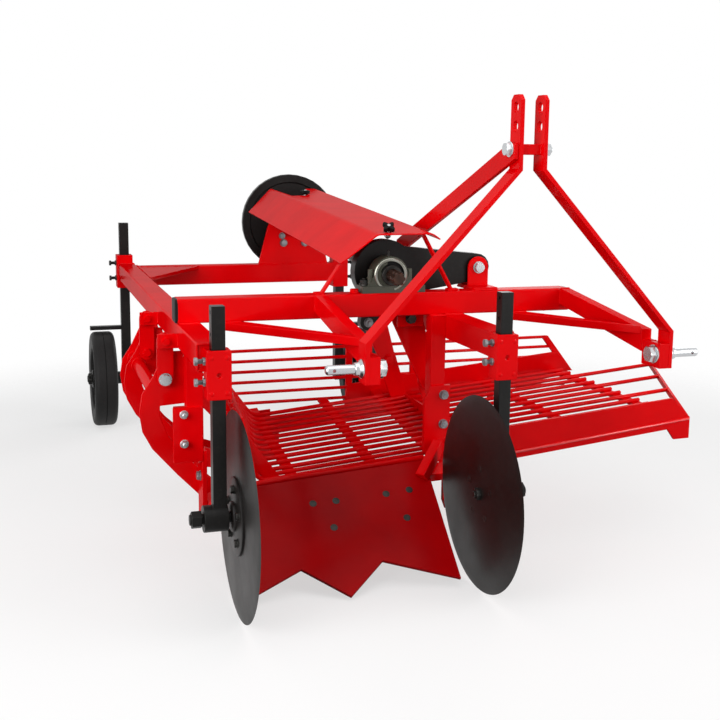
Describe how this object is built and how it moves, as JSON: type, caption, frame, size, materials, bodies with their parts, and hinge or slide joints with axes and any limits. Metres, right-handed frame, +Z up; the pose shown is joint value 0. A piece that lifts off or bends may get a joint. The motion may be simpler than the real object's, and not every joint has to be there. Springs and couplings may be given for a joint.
{
  "type": "vibrating potato digger",
  "caption": "Mounted single-row potato digger: toothed share between two coulter discs, shaking side-discharge rod sieve, mast and lower link pins, depth wheels.",
  "frame": {"origin": "middle of the footprint, on the ground", "axes": "-Y towards the tractor (travel), +X to the driver's left, +Z up"},
  "size_m": [1.708, 2.3014, 1.168],
  "materials": {
    "red_enamel": "glossy red enamel",
    "black_paint": "satin black paint",
    "tyre_rubber": "matt black rubber",
    "disc_steel": "dark, lightly scratched steel",
    "zinc_plate": "bright zinc plate",
    "bearing_casting": "olive-grey painted casting",
    "shaft_steel": "bare steel with brown rust"
  },
  "bodies": {
    "frame": {"main_beam": "red_enamel", "side_beam_right": "red_enamel", "side_beam_left": "red_enamel", "rear_beam": "red_enamel", "corner_gusset": "red_enamel", "mast_flat_right": "red_enamel", "hitch_arm_right": "red_enamel", "hitch_pin_right": "zinc_plate", "mast_flat_left": "red_enamel", "hitch_arm_left": "red_enamel", "hitch_pin_left": "zinc_plate", "mast_spacer": "red_enamel", "hitch_brace_right": "red_enamel", "hitch_brace_left": "red_enamel", "mast_brace": "red_enamel", "disc_clamp_right": "red_enamel", "disc_shank_right": "black_paint", "disc_clamp_left": "red_enamel", "disc_shank_left": "black_paint", "wheel_shank_right": "black_paint", "wheel_clamp_right": "red_enamel", "wheel_shank_left": "black_paint", "wheel_clamp_left": "red_enamel", "share": "red_enamel", "share_carrier": "red_enamel", "share_leg_right": "red_enamel", "share_leg_left": "red_enamel", "pto_bearing": "bearing_casting", "rear_bearing_plate": "red_enamel", "rocker_clevis": "red_enamel", "shaft_guard": "red_enamel", "guard_leg_right": "red_enamel", "guard_leg_left": "red_enamel", "hanger_lug_front": "red_enamel"},
    "right_wheel": {"wheel_tyre_right": "tyre_rubber", "wheel_rim_right": "black_paint"},
    "left_wheel": {"wheel_tyre_left": "tyre_rubber", "wheel_rim_left": "black_paint"},
    "right_disc": {"coulter_disc_right": "disc_steel"},
    "left_disc": {"coulter_disc_left": "disc_steel"},
    "drive_line": {"drive_shaft": "shaft_steel", "flywheel": "black_paint"},
    "rocker": {"drive_rocker": "black_paint"},
    "front_hanger": {"hanger_left_front": "red_enamel"},
    "rear_hanger": {"hanger_left_rear": "red_enamel"},
    "front_link": {"link_right_front": "red_enamel"},
    "rear_link": {"link_right_rear": "red_enamel"},
    "sieve": {"sieve_floor": "red_enamel", "sieve_step_plate": "red_enamel", "discharge_grid": "red_enamel", "sieve_front_rail": "red_enamel", "sieve_back_rail": "red_enamel", "sieve_fence": "red_enamel", "sieve_rib_front": "red_enamel", "sieve_rib_mid": "red_enamel", "sieve_rib_rear": "red_enamel", "rib_tube": "red_enamel"}
  },
  "joints": [
    {"name": "right_wheel_spin", "type": "hinge", "parent": "frame", "child": "right_wheel", "pos_m": [-0.7975, 0.97065, 0.18], "axis": [1, 0, 0], "continuous": true},
    {"name": "left_wheel_spin", "type": "hinge", "parent": "frame", "child": "left_wheel", "pos_m": [0.195, 0.83365, 0.18], "axis": [1, 0, 0], "continuous": true},
    {"name": "right_disc_spin", "type": "hinge", "parent": "frame", "child": "right_disc", "pos_m": [-0.65, -0.91465, 0.236], "axis": [1, 0, 0], "continuous": true},
    {"name": "left_disc_spin", "type": "hinge", "parent": "frame", "child": "left_disc", "pos_m": [-0.065, -0.91465, 0.236], "axis": [1, 0, 0], "continuous": true},
    {"name": "drive_spin", "type": "hinge", "parent": "frame", "child": "drive_line", "pos_m": [-0.191, -0.67435, 0.727], "axis": [0.0683, 0.9972, 0.032], "continuous": true},
    {"name": "sieve_swing", "type": "hinge", "parent": "frame", "child": "front_hanger", "pos_m": [-0.116, -0.52835, 0.61], "axis": [0, 1, 0], "range_deg": [-3.4, 3.4]},
    {"name": "rear_hanger_swing", "type": "hinge", "parent": "frame", "child": "rear_hanger", "pos_m": [-0.116, -0.19235, 0.61], "axis": [0, 1, 0], "range_deg": [-3.5, 3.5]},
    {"name": "front_link_swing", "type": "hinge", "parent": "frame", "child": "front_link", "pos_m": [-0.762, -0.58935, 0.583], "axis": [0, 1, 0], "range_deg": [-6.25, 6.25]},
    {"name": "rear_link_swing", "type": "hinge", "parent": "frame", "child": "rear_link", "pos_m": [-0.762, -0.20935, 0.583], "axis": [0, 1, 0], "range_deg": [-6.25, 6.25]},
    {"name": "sieve_level", "type": "hinge", "parent": "front_hanger", "child": "sieve", "pos_m": [-0.05, -0.52835, 0.431], "axis": [0, 1, 0], "range_deg": [-3.18, 3.18]},
    {"name": "rocker_nod", "type": "hinge", "parent": "frame", "child": "rocker", "pos_m": [0.08, -0.51435, 0.739], "axis": [0, 1, 0], "range_deg": [-1.5, 1.5]}
  ],
  "couplings": [
    {"joint": "rear_hanger_swing", "follows": "sieve_swing", "ratio": 1},
    {"joint": "front_link_swing", "follows": "sieve_swing", "ratio": 1.8091},
    {"joint": "rear_link_swing", "follows": "sieve_swing", "ratio": 1.8091},
    {"joint": "sieve_level", "follows": "sieve_swing", "ratio": -0.9049},
    {"joint": "rocker_nod", "follows": "sieve_swing", "ratio": 0.4}
  ]
}
